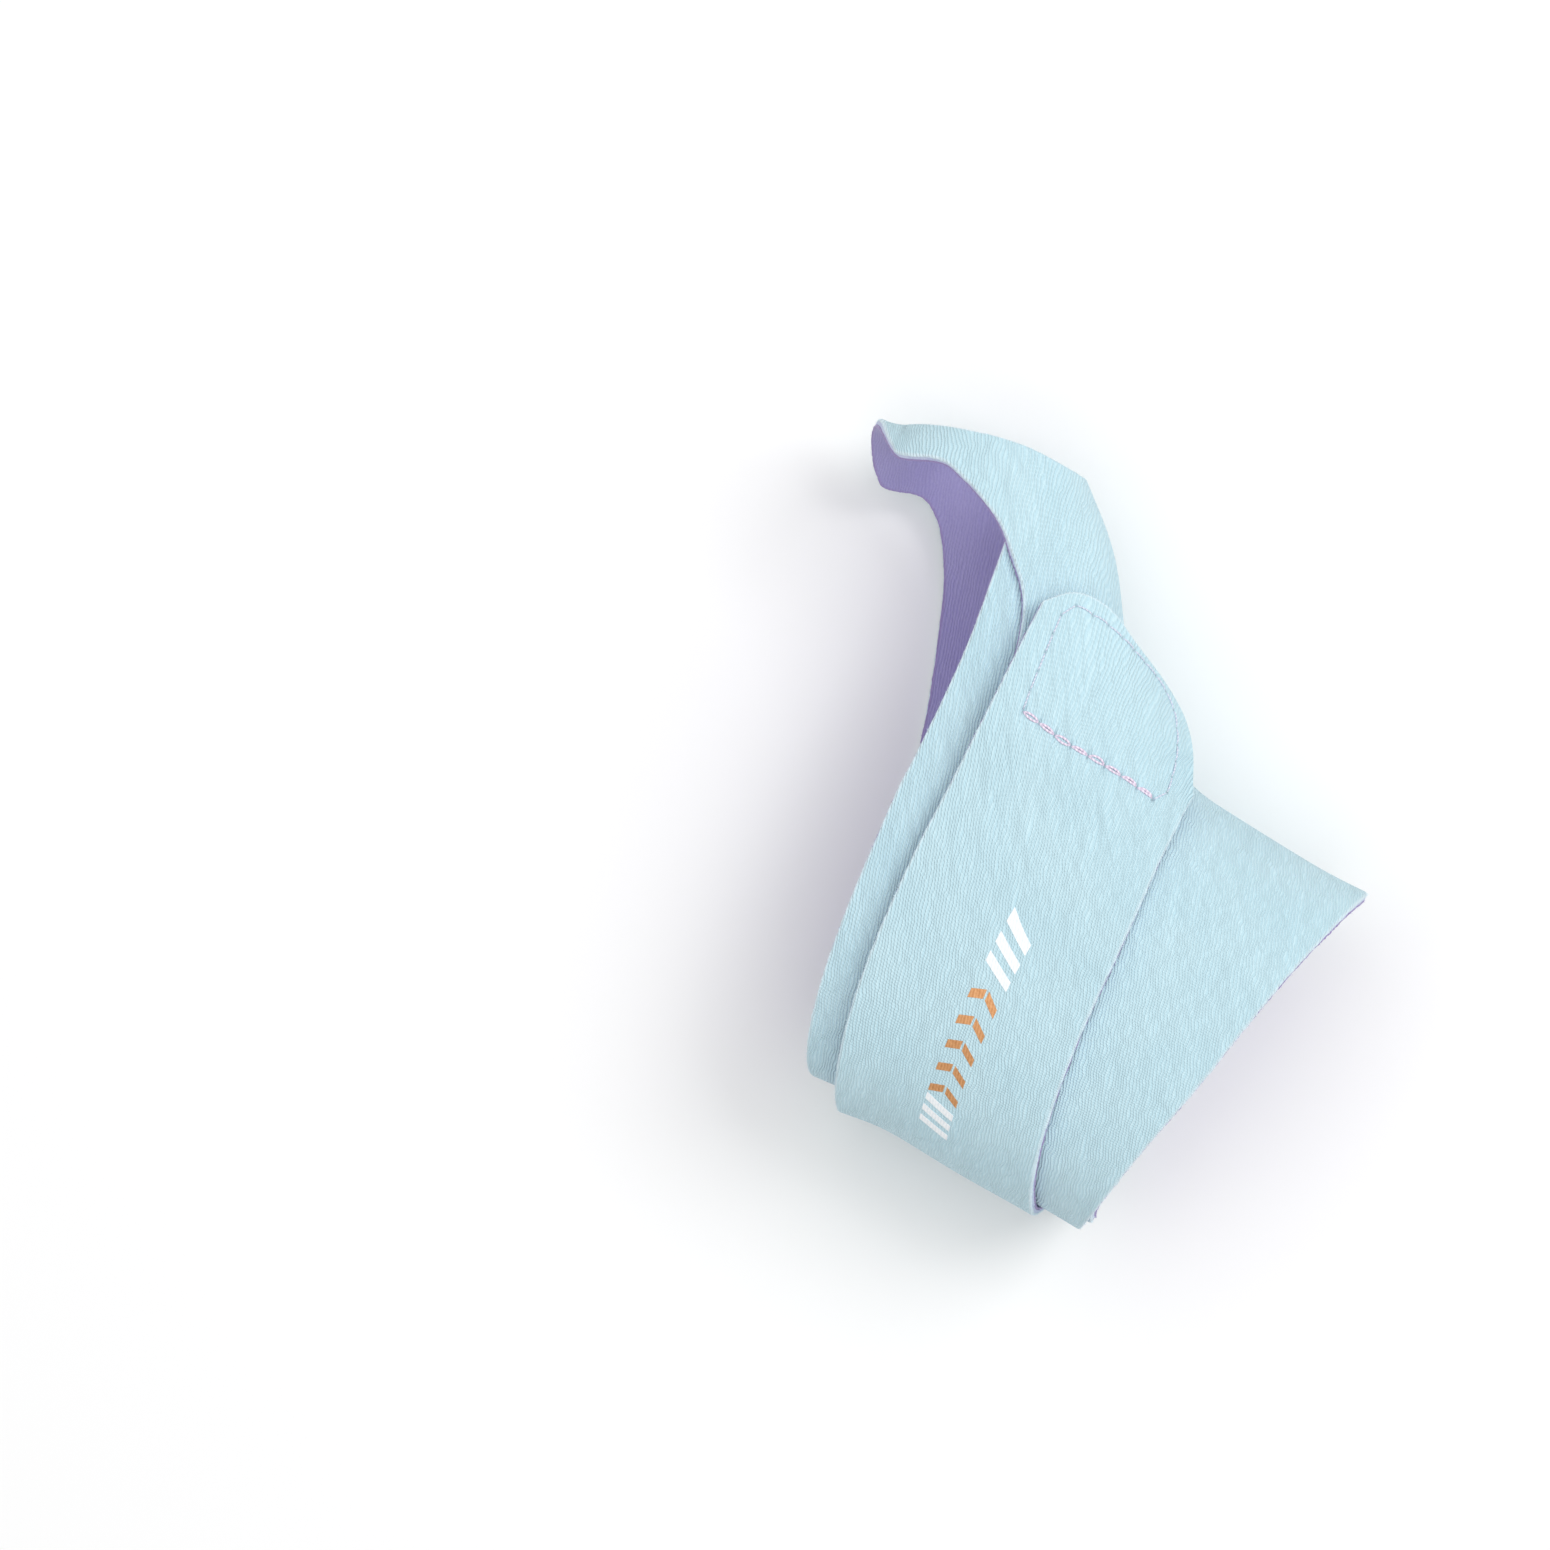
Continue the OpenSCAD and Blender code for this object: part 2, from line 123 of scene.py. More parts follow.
# ---------------------------------------------------------------- shape functions
def curve(stations, at, column=1):
    """Smooth curve through a list of stations, as in the CAD."""
    s, at = np.asarray(stations, float), np.asarray(at, float)
    x, p = s[:, 0], s[:, column]
    d = np.empty(len(p))
    d[1:-1] = (p[2:] - p[:-2]) / (x[2:] - x[:-2])
    d[0], d[-1] = (p[1] - p[0]) / (x[1] - x[0]), (p[-1] - p[-2]) / (x[-1] - x[-2])
    i = np.clip(np.searchsorted(x, at, side="right") - 1, 0, len(x) - 2)
    h = x[i + 1] - x[i]
    u, a, b, da, db = (at - x[i]) / h, p[i], p[i + 1], d[i] * h, d[i + 1] * h
    inside = a + u * (da + u * (3 * (b - a) - 2 * da - db + u * (2 * (a - b) + da + db)))
    return np.where(u < 0, a + da * u, np.where(u > 1, b + db * (u - 1), inside))


def step01(x):
    x = np.clip(x, 0, 1)
    return x * x * (3 - 2 * x)


def ramp(x, a, b):
    return step01((x - a) / (b - a))


def mix(a, b, u):
    return a + (b - a) * u


def rounded(c):
    return np.sign(c) * np.abs(c) ** (2 / ROUNDNESS)


def smooth_max(a, b, k):
    h = np.maximum(k - np.abs(a - b), 0) / k
    return np.maximum(a, b) + h * h * k / 4


def skin(t, y):
    """The wrist and hand under the cloth, at angle t round the section at y."""
    x1, x0 = curve(SECTIONS, y, 1), curve(SECTIONS, y, 2)
    zb, zt = PALM_Z + curve(SECTIONS, y, 3), PALM_Z + curve(SECTIONS, y, 4)
    zm = (zb + zt) / 2
    s, c = rounded(np.sin(np.radians(t))), rounded(np.cos(np.radians(t)))
    palm = smooth_max(zm + (zm - zb) / PALM_CUT * s, zb, PALM_SOFT)
    z = np.where(s >= 0, zm + (zt - zm) * s, palm)
    return np.stack([(x0 + x1) / 2 + (x1 - x0) / 2 * c, y + 0 * t, z], -1)


def outward(t, y, dt=1.5, dy=0.4):
    n = np.cross(skin(t, y + dy) - skin(t, y - dy), skin(t + dt, y) - skin(t - dt, y))
    return n / np.linalg.norm(n, axis=-1, keepdims=True)


def base_at(turn, y):
    return skin(THUMB_TURN - turn, y)


def normal_at(turn, y):
    return outward(THUMB_TURN - turn, y)


def level(turn):
    """Height of the lining's inner face over the skin."""
    return (PITCH * (ramp(turn, *SECOND_LAP) + ramp(turn, *THIRD_LAP))
            + (STRAP_AIR - TURN_AIR) * ramp(turn, *STRAP_LAP))


def undulation(turn, y):
    """The cloth's soft waves. They repeat every turn, so that the turns stay nested."""
    a = np.radians(turn)
    return 0.10 * (np.sin(5 * a + 0.11 * y + 0.7) * np.sin(0.17 * y + 1.1)
                   + 0.7 * np.sin(8 * a - 0.23 * y + 2.0) + 0.5 * np.sin(3 * a + 0.31 * y))


def fold_turn(v):
    """Winding angle of the tab's fold line, which curves a little across the strap."""
    return 884 - 21.5 * v - 21.6 * v * v + 11.6 * v ** 3


def rise(past):
    """Extra height of the cloth before and over the hook patch."""
    return TAB_RISE * ramp(past, -15, -1)


def across(turn, v):
    return mix(curve(ARM_EDGE, turn), curve(FINGER_EDGE, turn, 2), v)


# ---------------------------------------------------------------- places on the three stretches
SEAM_I, SEAM_TURN, TURN_STEP = 63, 565, 9       # grid line at the thumb, its turn, and the spacing
HOLE = (59, 67, 12, 13)                         # grid lines round the thumb opening
RIM_CORNER = 10                                 # of the opening, in degrees from its two sides
WRAP_M = 15                                     # grid steps across the cloth
FADE = 7                                        # grid lines over which the opening's pull fades
SEAM_PAST, SEAM_DIP, SWELL = 1.6, 0.15, 0.05    # cross seam: place past the fold, dip and swelling
SEAM_SWELLS = 11.5                              # along the seam, over the full width


def nominal(i):
    return SEAM_TURN + TURN_STEP * (i - SEAM_I)


def arm_point(turn):
    return np.stack([turn, curve(ARM_EDGE, turn)], -1)


def finger_point(turn):
    return np.stack([curve(FINGER_EDGE, turn, 1), curve(FINGER_EDGE, turn, 2)], -1)


def straight(i, j):
    return mix(arm_point(nominal(i)), finger_point(nominal(i)), (j / WRAP_M)[..., None])


def half_open(y):
    """Half the width of the thumb opening at y, in degrees of turn."""
    x1, x0 = curve(SECTIONS, y, 1), curve(SECTIONS, y, 2)
    f = (y - THUMB_Y0) / (THUMB_Y1 - THUMB_Y0)
    rim = mix(RIM_X0, RIM_X1, f) + RIM_BOW * 4 * f * (1 - f)
    c = (rim - (x0 + x1) / 2) / ((x1 - x0) / 2)
    return np.degrees(np.arccos(np.minimum(c, 1) ** (ROUNDNESS / 2)))


def rim_point(a):
    a = np.radians(a)
    y = (THUMB_Y0 + THUMB_Y1) / 2 + (THUMB_Y1 - THUMB_Y0) / 2 * np.sin(a)
    side = np.sign(np.round(np.cos(a), 6))
    return np.stack([SEAM_TURN + side * half_open(y), y], -1)


def near_hole(i, j):
    u = (i - HOLE[0]) / (HOLE[1] - HOLE[0])
    w = (j - HOLE[2]) / (HOLE[3] - HOLE[2])
    k, run = RIM_CORNER, (180 - 2 * RIM_CORNER) * u
    low = mix(arm_point(nominal(i)), rim_point(180 + k + run), (j / HOLE[2])[..., None])
    top = mix(rim_point(180 - k - run), finger_point(nominal(i)),
              ((j - HOLE[3]) / (WRAP_M - HOLE[3]))[..., None])
    side = rim_point(np.where(2 * i < HOLE[0] + HOLE[1], 180 + k - 2 * k * w, 2 * k * w - k))
    return np.where((j <= HOLE[2])[..., None], low, np.where((j >= HOLE[3])[..., None], top, side))


def wrap_place(i, j):
    e = np.where(i < SEAM_I, HOLE[0], HOLE[1]).astype(float)
    fade = 1 - step01(np.abs(i - e) / FADE)
    outside = straight(i, j) + (near_hole(e, j) - straight(e, j)) * fade[..., None]
    inside = (i >= HOLE[0]) & (i <= HOLE[1])
    return np.where(inside[..., None], near_hole(i, j), outside)


def pucker(past, v):
    """Dips the tab along its cross seam and swells it softly between the stitches."""
    seam = np.exp(-((past - SEAM_PAST) / 1.5) ** 2) * ramp(v, 0.1, 0.17) * (1 - ramp(v, 0.85, 0.92))
    swell = np.cos(2 * np.pi * (v - 0.17) * SEAM_SWELLS) * np.exp(-((past - SEAM_PAST) / 6.0) ** 2)
    swell = swell * ramp(v, 0.12, 0.25) * (1 - ramp(v, 0.78, 0.9)) * ramp(past, -8, -2)
    return -SEAM_DIP * seam - SWELL * swell


def tab_place(past, v):
    turn = fold_turn(v) + past
    stand = rise(past) + TIP_LIFT * (np.maximum(past, 0) / curve(TAB_REACH, v)) ** 2
    return np.stack([turn, across(turn, v)], -1), stand


# ---------------------------------------------------------------- grids
def lines(start, end, step, dense=()):
    """Grid lines from start to end about step apart, closer beside the dense ones."""
    count = max(2, round((end - start) / step) + 1)
    near = [d + k * step * f for d in dense for k in (-1, 1) for f in (0, 0.12, 0.3, 0.6)]
    marks = np.concatenate([np.linspace(start, end, count), near])
    marks = np.unique(np.round(marks[(marks >= start) & (marks <= end)], 5))
    keep = [marks[0]]
    for m in marks[1:]:
        if m - keep[-1] > step * 0.1 or any(abs(m - d) < 1e-6 for d in dense):
            keep.append(m)
    if keep[-1] != marks[-1]:
        keep.append(marks[-1])
    return np.array(keep)


def arc_at(turn):
    """Length of cloth from the inner end, at the middle of the wrist, in mm."""
    steps = np.arange(-10, 930, 1.0)
    y = 0 * steps + 8
    p = base_at(steps, y) + normal_at(steps, y) * level(steps)[:, None]
    s = np.concatenate([[0], np.cumsum(np.linalg.norm(np.diff(p, axis=0), axis=1))])
    return np.interp(turn, steps, s)


def cloth_uv(turn, base):
    """Place on the knit in mm: along the cloth, and across its ribs."""
    over = base[..., 1] * math.cos(RIB_SLANT) - base[..., 0] * math.sin(RIB_SLANT)
    return np.stack([arc_at(turn), over], -1)


def grid(place, stand, raw, block=None, needles=()):
    """Frames over a grid of places. raw says which of the four sides are cut edges:
    first and last line along the strip, then arm side and finger side. Each entry of needles is a
    place where the thread goes in, the direction of its gather, its depth and its length; the cloth
    is dented there, and a mask of painted shade in the dents is kept for the cloth's colour."""
    turn, y = place[..., 0], place[..., 1]
    base, normal = base_at(turn, y), normal_at(turn, y)
    height = level(turn) + stand + undulation(turn, y)
    p = base + normal * (height + LAMINATE)[..., None]
    n, m = p.shape[0] - 1, p.shape[1] - 1
    di = np.linalg.norm(np.diff(p, axis=0), axis=2)
    dj = np.linalg.norm(np.diff(p, axis=1), axis=2)
    far = np.full(p.shape[:2], 99.0)
    hole = np.zeros(p.shape[:2])
    for at, along, depth, length in needles:
        gap = p - at
        run = np.sum(gap * along, -1)
        across_run = np.linalg.norm(gap - run[..., None] * along, axis=-1)
        groove = np.exp(-(across_run / 0.26) ** 2 - (run / length) ** 2)
        height = height - depth * groove
        # painted shade: a small dark spot at each stitch dent, kept as a mask that darkens the
        # cover's colour
        hole_shade_spot = np.exp(-(across_run / 0.17) ** 2 - (run / (0.18 + 0.4 * length)) ** 2)
        hole = np.maximum(hole, hole_shade_spot)
    zi, zj = np.zeros((1, m + 1)), np.zeros((n + 1, 1))
    up_i, up_j = np.vstack([zi, np.cumsum(di, 0)]), np.hstack([zj, np.cumsum(dj, 1)])
    if raw[0]:
        far = np.minimum(far, up_i)
    if raw[1]:
        far = np.minimum(far, up_i[-1:] - up_i)
    if raw[2]:
        far = np.minimum(far, up_j)
    if raw[3]:
        far = np.minimum(far, up_j[:, -1:] - up_j)
    if block:
        a, b, c, d = block
        beside_i, beside_j = slice(a, b + 1), slice(c, d + 1)
        for part, gap in (((beside_i, slice(0, c + 1)), up_j[:, c:c + 1] - up_j),
                          ((beside_i, slice(d, None)), up_j - up_j[:, d:d + 1]),
                          ((slice(0, a + 1), beside_j), up_i[a:a + 1] - up_i),
                          ((slice(b, None), beside_j), up_i - up_i[b:b + 1])):
            far[part] = np.minimum(far[part], gap[part])
        for ci in (a, b):
            for cj in (c, d):
                far = np.minimum(far, np.linalg.norm(p - p[ci, cj], axis=2))
    return {"base": base, "normal": normal, "height": height, "far": np.maximum(far, 0),
            "uv": cloth_uv(turn, base), "hole": hole, "block": block, "n": n, "m": m}


def rings(g):
    """Each side of the grid and of its opening as ((i, j), inward (di, dj)) along a closed walk."""
    n, m = g["n"], g["m"]
    walks = [[(i, 0, 0, 1) for i in range(n)] + [(n, j, -1, 0) for j in range(m)]
             + [(i, m, 0, -1) for i in range(n, 0, -1)] + [(0, j, 1, 0) for j in range(m, 0, -1)]]
    if g["block"]:
        a, b, c, d = g["block"]
        walks.append([(a, j, -1, 0) for j in range(c, d)] + [(i, d, 0, 1) for i in range(a, b)]
                     + [(b, j, 1, 0) for j in range(d, c, -1)]
                     + [(i, c, 0, -1) for i in range(b, a, -1)])
    return walks


def new_mesh(name, points, faces, material, uv=None, edge=None, hole=None):
    mesh = bpy.data.meshes.new(name)
    mesh.from_pydata((np.asarray(points) * MM).tolist(), [], faces)
    mesh.update()
    if uv is not None:
        layer = mesh.uv_layers.new(name="cloth_mm")
        loops = np.empty(len(mesh.loops), int)
        mesh.loops.foreach_get("vertex_index", loops)
        layer.data.foreach_set("uv", np.asarray(uv, np.float32)[loops].ravel())
    for key, values in (("edge_mm", edge), ("needle_hole", hole)):
        if values is not None:
            attribute = mesh.attributes.new(key, "FLOAT", "POINT")
            attribute.data.foreach_set("value", np.asarray(values, np.float32))
    mesh.materials.append(material)
    mesh.polygons.foreach_set("use_smooth", np.ones(len(mesh.polygons), bool))
    mesh.set_sharp_from_angle(angle=math.radians(62))
    ob = bpy.data.objects.new(name, mesh)
    scene.collection.objects.link(ob)
    return ob


def ply(name, g, low, high, material, soften=0.2, bulge=0.05, reach=0.0, seed=1):
    """One ply as a closed shell between two heights, its cut edges softened and a little ragged."""
    n, m, far = g["n"], g["m"], g["far"]
    random = np.random.default_rng(seed)
    shrink = 0 * far
    if soften:
        shrink = soften * (1 - np.sqrt(1 - (1 - np.clip(far / soften, 0, 1)) ** 2))
    walks = rings(g)
    shift = np.zeros(g["base"].shape)
    mid = g["base"] + g["normal"] * (g["height"] + (low + high) / 2)[..., None]
    for walk in walks:
        at = np.array([w[:2] for w in walk])
        inner = at + np.array([w[2:] for w in walk])
        away = mid[at[:, 0], at[:, 1]] - mid[inner[:, 0], inner[:, 1]]
        away /= np.maximum(np.linalg.norm(away, axis=1, keepdims=True), 1e-6)
        free = (far[at[:, 0], at[:, 1]] < 1e-6).astype(float)
        rough = random.normal(0, 1, len(walk))
        rough = 0.5 * rough + 0.5 * np.roll(rough, 1) + 0.4 * np.roll(rough, 3)
        shift[at[:, 0], at[:, 1]] = away * (free * (reach + 0.045 * rough))[:, None]
    base = g["base"] + shift
    outer = base + g["normal"] * (g["height"] + high - shrink)[..., None]
    inner_face = base + g["normal"] * (g["height"] + low)[..., None]
    count = (n + 1) * (m + 1)
    index = np.arange(count).reshape(n + 1, m + 1)
    cells = np.ones((n, m), bool)
    if g["block"]:
        a, b, c, d = g["block"]
        cells[a:b, c:d] = False
    quads = np.stack([index[:-1, :-1], index[1:, :-1], index[1:, 1:], index[:-1, 1:]], -1)[cells]
    faces = np.vstack([quads, quads[:, ::-1] + count])
    points = [outer.reshape(-1, 3), inner_face.reshape(-1, 3)]
    uv = [g["uv"].reshape(-1, 2)] * 2
    edge = [far.ravel()] * 2
    hole = [g["hole"].ravel(), 0 * g["hole"].ravel()]
    total = 2 * count
    walls = []
    for walk in walks:
        at = np.array([w[:2] for w in walk])
        inner = at + np.array([w[2:] for w in walk])
        top, bottom = outer[at[:, 0], at[:, 1]], inner_face[at[:, 0], at[:, 1]]
        away, normal = top - outer[inner[:, 0], inner[:, 1]], g["normal"][at[:, 0], at[:, 1]]
        away -= normal * np.sum(away * normal, 1)[:, None]
        away /= np.maximum(np.linalg.norm(away, axis=1, keepdims=True), 1e-6)
        free = (far[at[:, 0], at[:, 1]] < 1e-6)[:, None]
        belly = (top + bottom) / 2 + away * free * (bulge + random.normal(0, 0.02, (len(walk), 1)))
        points.append(belly)
        uv.append(g["uv"][at[:, 0], at[:, 1]])
        edge.append(np.zeros(len(walk)))
        hole.append(np.zeros(len(walk)))
        a = index[at[:, 0], at[:, 1]]
        c = np.arange(len(walk)) + total
        total += len(walk)
        nxt = np.roll(np.arange(len(walk)), -1)
        walls.append(np.stack([a[nxt], a, c, c[nxt]], -1))
        walls.append(np.stack([c[nxt], c, a + count, a[nxt] + count], -1))
    faces = np.vstack([faces] + walls)
    points, uv = np.vstack(points), np.vstack(uv)
    edge, hole = np.concatenate(edge), np.concatenate(hole)
    used = np.zeros(len(points), bool)
    used[faces.ravel()] = True
    renumber = np.cumsum(used) - 1
    ob = new_mesh(name, points[used], renumber[faces].tolist(), material,
                  uv[used], edge[used], hole[used])
    area = np.linalg.norm(np.cross(points[quads[:, 1]] - points[quads[:, 0]],
                                   points[quads[:, 3]] - points[quads[:, 0]]), axis=1).sum()
    return ob, area


# ---------------------------------------------------------------- materials
def srgb(r, g, b):
    return [((c / 255 + 0.055) / 1.055) ** 2.4 if c > 10 else c / 3294.6 for c in (r, g, b)] + [1]


class Nodes:
    """A material's node tree with short calls to add and join nodes."""

    def __init__(self, name, rough, sheen=0.0, sheen_rough=0.5, metallic=0.0, tint=None):
        self.material = bpy.data.materials.new(name)
        self.material.use_nodes = True
        self.tree = self.material.node_tree
        self.shader = self.tree.nodes["Principled BSDF"]
        self.shader.inputs["Roughness"].default_value = rough
        self.shader.inputs["Sheen Weight"].default_value = sheen
        self.shader.inputs["Sheen Roughness"].default_value = sheen_rough
        self.shader.inputs["Metallic"].default_value = metallic
        self.shader.inputs["Specular IOR Level"].default_value = 0.25
        if tint:
            self.shader.inputs["Sheen Tint"].default_value = tint

    def add(self, kind, operation=None, **values):
        node = self.tree.nodes.new(kind)
        if operation:
            node.operation = operation
        for key, value in values.items():
            setattr(node, key, value)
        return node

    def link(self, a, b):
        self.tree.links.new(a, b)

    def math(self, operation, a, b=None, c=None):
        node = self.add("ShaderNodeMath", operation)
        for socket, value in zip(node.inputs, (a, b, c)):
            if value is None:
                continue
            if isinstance(value, (int, float)):
                socket.default_value = value
            else:
                self.link(value, socket)
        return node.outputs[0]

    def ramp(self, value, stops):
        node = self.add("ShaderNodeValToRGB")
        self.link(value, node.inputs[0])
        while len(node.color_ramp.elements) < len(stops):
            node.color_ramp.elements.new(0.5)
        for element, (at, colour) in zip(node.color_ramp.elements, stops):
            element.position, element.color = at, colour
        return node.outputs[0]

    def mix(self, a, b, factor):
        node = self.add("ShaderNodeMix", data_type="RGBA")
        for socket, value in ((node.inputs[6], a), (node.inputs[7], b), (node.inputs[0], factor)):
            if isinstance(value, (int, float, list)):
                socket.default_value = value
            else:
                self.link(value, socket)
        return node.outputs[2]

    def noise(self, vector, scale, detail=3, rough=0.6):
        node = self.add("ShaderNodeTexNoise")
        node.inputs["Scale"].default_value = scale
        node.inputs["Detail"].default_value = detail
        node.inputs["Roughness"].default_value = rough
        self.link(vector, node.inputs["Vector"])
        return node.outputs["Fac"]

    def uv(self):
        node = self.add("ShaderNodeUVMap", uv_map="cloth_mm")
        split = self.add("ShaderNodeSeparateXYZ")
        self.link(node.outputs[0], split.inputs[0])
        return node.outputs[0], split.outputs[0], split.outputs[1]

    def bump(self, height, strength, distance, under=None):
        node = self.add("ShaderNodeBump")
        node.inputs["Strength"].default_value = strength
        node.inputs["Distance"].default_value = distance
        self.link(height, node.inputs["Height"])
        if under is not None:
            self.link(under, node.inputs["Normal"])
        return node.outputs[0]

    def finish(self, colour, normal=None):
        if isinstance(colour, list):
            self.shader.inputs["Base Color"].default_value = colour
        else:
            self.link(colour, self.shader.inputs["Base Color"])
        if normal is not None:
            self.link(normal, self.shader.inputs["Normal"])
        return self.material


RIB, COURSE = 0.42, 0.36            # knit pitch across and along the ribs, mm
# painted shade: the grey-blue that the cover's colour takes in each stitch dent
NEEDLE_SHADE = srgb(96, 112, 132)


def knit(name, light, dark, edge_colour, sheen, rib_depth, rib_shade, brushed=0.0):
    """Fine rib knit: ribs and courses from the cloth's own millimetre map, with fuzzy cut edges."""
    k = Nodes(name, 0.88, sheen, 0.45, tint=[0.95, 0.98, 1, 1])
    vector, along, over = k.uv()
    wander = k.noise(vector, 0.35, 2)
    phase = k.math("MULTIPLY_ADD", wander, 1.2, over)
    rib = k.math("SINE", k.math("MULTIPLY", phase, 2 * math.pi / RIB))
    course = k.math("MULTIPLY", along, 2 * math.pi / COURSE)
    row = k.math("SINE", k.math("MULTIPLY_ADD", rib, 0.7, course))
    fine = k.noise(vector, 3.2, 4, 0.7)
    soft = k.noise(vector, 0.12, 3, 0.5)
    height = k.math("MULTIPLY_ADD", row, 0.3, rib)
    height = k.math("MULTIPLY_ADD", fine, 0.9 + brushed, height)
    # painted shade: the colour darkens in the grooves between the ribs, by rib_shade; the two
    # noises below add the knit's own uneven tone
    shade = k.math("MULTIPLY_ADD", rib, rib_shade, 0.5)
    shade = k.math("MULTIPLY_ADD", k.math("SUBTRACT", fine, 0.5), 0.5 + brushed, shade)
    shade = k.math("MULTIPLY_ADD", k.math("SUBTRACT", soft, 0.5), 0.6, shade)
    colour = k.ramp(shade, [(0.0, dark), (1.0, light)])
    edge = k.add("ShaderNodeAttribute", attribute_name="edge_mm").outputs["Fac"]
    ragged = k.math("MULTIPLY_ADD", k.math("SUBTRACT", fine, 0.5), 0.35, edge)
    rim = k.ramp(ragged, [(0.0, [1, 1, 1, 1]), (0.42, [0, 0, 0, 1])])
    colour = k.mix(colour, edge_colour, k.math("MULTIPLY", rim, 0.75))
    # painted shade: the cover's colour darkens towards that grey-blue in each stitch dent, by the
    # mask from grid()
    hole_shade_mask = k.add("ShaderNodeAttribute", attribute_name="needle_hole").outputs["Fac"]
    colour = k.mix(colour, NEEDLE_SHADE, k.math("MULTIPLY", hole_shade_mask, 0.62))
    coarse = k.bump(soft, 0.10, 0.0012)
    return k.finish(colour, k.bump(height, rib_depth, 0.00009, coarse))


def foam(name, light, dark):
    k = Nodes(name, 0.9, 0.15)
    vector, _, _ = k.uv()
    cells = k.noise(vector, 5.5, 5, 0.75)
    patches = k.noise(vector, 0.7, 2)
    colour = k.ramp(k.math("MULTIPLY_ADD", patches, 0.4, k.math("MULTIPLY", cells, 0.8)),
                    [(0.35, dark), (0.75, light)])
    return k.finish(colour, k.bump(cells, 0.6, 0.00015))


def yarn(name, light, dark, twist=0.55):
    """Twisted filament thread, from the stitch's own millimetre map."""
    k = Nodes(name, 0.55, 0.3)
    vector, along, over = k.uv()
    lay = k.math("MULTIPLY_ADD", over, 0.9, along)
    spiral = k.math("SINE", k.math("MULTIPLY", lay, 2 * math.pi / twist))
    tone = k.math("MULTIPLY_ADD", spiral, 0.3, k.noise(vector, 1.6, 3))
    return k.finish(k.ramp(tone, [(0.2, dark), (0.75, light)]), k.bump(spiral, 0.5, 0.00006))


def film(name, light, dark, rough, metallic):
    """Thin print, through which the knit's ribs still show."""
    k = Nodes(name, rough, metallic=metallic)
    vector, _, over = k.uv()
    through = k.math("SINE", k.math("MULTIPLY", over, 2 * math.pi / RIB))
    grain = k.noise(vector, 2.5, 4, 0.7)
    # painted shade of the knit's ribs under the print: the print's colour darkens a little along
    # the rib grooves, over its random grain
    tone = k.math("MULTIPLY_ADD", through, 0.10, grain)
    return k.finish(k.ramp(tone, [(0.25, dark), (0.7, light)]), k.bump(tone, 0.3, 0.00006))


def nylon(name, light, dark, weave=0.6):
    k = Nodes(name, 0.42, 0.1)
    vector, along, over = k.uv()
    a = k.math("SINE", k.math("MULTIPLY", along, 2 * math.pi / weave))
    b = k.math("SINE", k.math("MULTIPLY", over, 2 * math.pi / weave))
    tone = k.math("MULTIPLY_ADD", k.math("MULTIPLY", a, b), 0.3, k.noise(vector, 2.0, 3))
    return k.finish(k.ramp(tone, [(0.2, dark), (0.8, light)]), k.bump(tone, 0.5, 0.0001))


cover_mat = knit("cover_knit", srgb(208, 235, 243), srgb(186, 220, 232), srgb(228, 242, 250),
                 0.2, 0.75, 0.28)
lining_mat = knit("lining_knit", srgb(184, 178, 218), srgb(150, 142, 196), srgb(158, 138, 186),
                  0.35, 0.35, 0.12, 0.5)
core_mat = foam("foam_core", srgb(214, 222, 244), srgb(176, 188, 222))
thread_mat = yarn("thread", srgb(226, 230, 242), srgb(194, 206, 228))
cross_mat = yarn("thread_back_tack", srgb(244, 234, 246), srgb(216, 198, 222))
white_mat = film("white_print", srgb(250, 251, 252), srgb(226, 233, 238), 0.45, 0.0)
copper_mat = film("copper_print", srgb(224, 168, 118), srgb(186, 126, 78), 0.35, 0.25)
tape_mat = nylon("hook_tape", srgb(222, 238, 243), srgb(196, 218, 226))
hook_mat = nylon("hook_nylon", srgb(236, 246, 249), srgb(214, 232, 238), 1.5)
fuzz_mat = knit("fuzz_cover", srgb(232, 243, 248), srgb(206, 228, 238), srgb(236, 246, 250),
                0.3, 0.1, 0.1)
lint_mat = knit("fuzz_lining", srgb(178, 168, 214), srgb(128, 112, 180), srgb(150, 136, 196),
                0.3, 0.1, 0.1)

# ---------------------------------------------------------------- the three stretches of cloth
STEP_I = 0.075       # between mesh lines, in grid steps round the wrist
STEP_J = 0.28                                   # the same, across the cloth
JOIN_TURN = 745.0                               # the wrap's piece ends, and the strap's starts
FOLD_BACK = 10.0                                # the tab's piece starts this far before the fold

i_end = SEAM_I + (JOIN_TURN - SEAM_TURN) / TURN_STEP
i_lines = lines(0, i_end, STEP_I, dense=(0, HOLE[0], HOLE[1]))
j_lines = lines(0, WRAP_M, STEP_J, dense=(0, HOLE[2], HOLE[3], WRAP_M))
ii, jj = np.meshgrid(i_lines, j_lines, indexing="ij")
wrap_block = tuple(int(np.argmin(abs(marks - v)))
                   for marks, v in zip((i_lines, i_lines, j_lines, j_lines), HOLE))
wrap_grid = grid(wrap_place(ii, jj), 0.0, (True, False, True, True), wrap_block)

v_lines = lines(0, 1, 0.024, dense=(0, 1))
uu, vv = np.meshgrid(np.linspace(0, 1, 170), v_lines, indexing="ij")
strap_turn = mix(JOIN_TURN, fold_turn(vv) - FOLD_BACK, uu)
strap_grid = grid(np.stack([strap_turn, across(strap_turn, vv)], -1),
                  rise(strap_turn - fold_turn(vv)), (False, False, True, True))

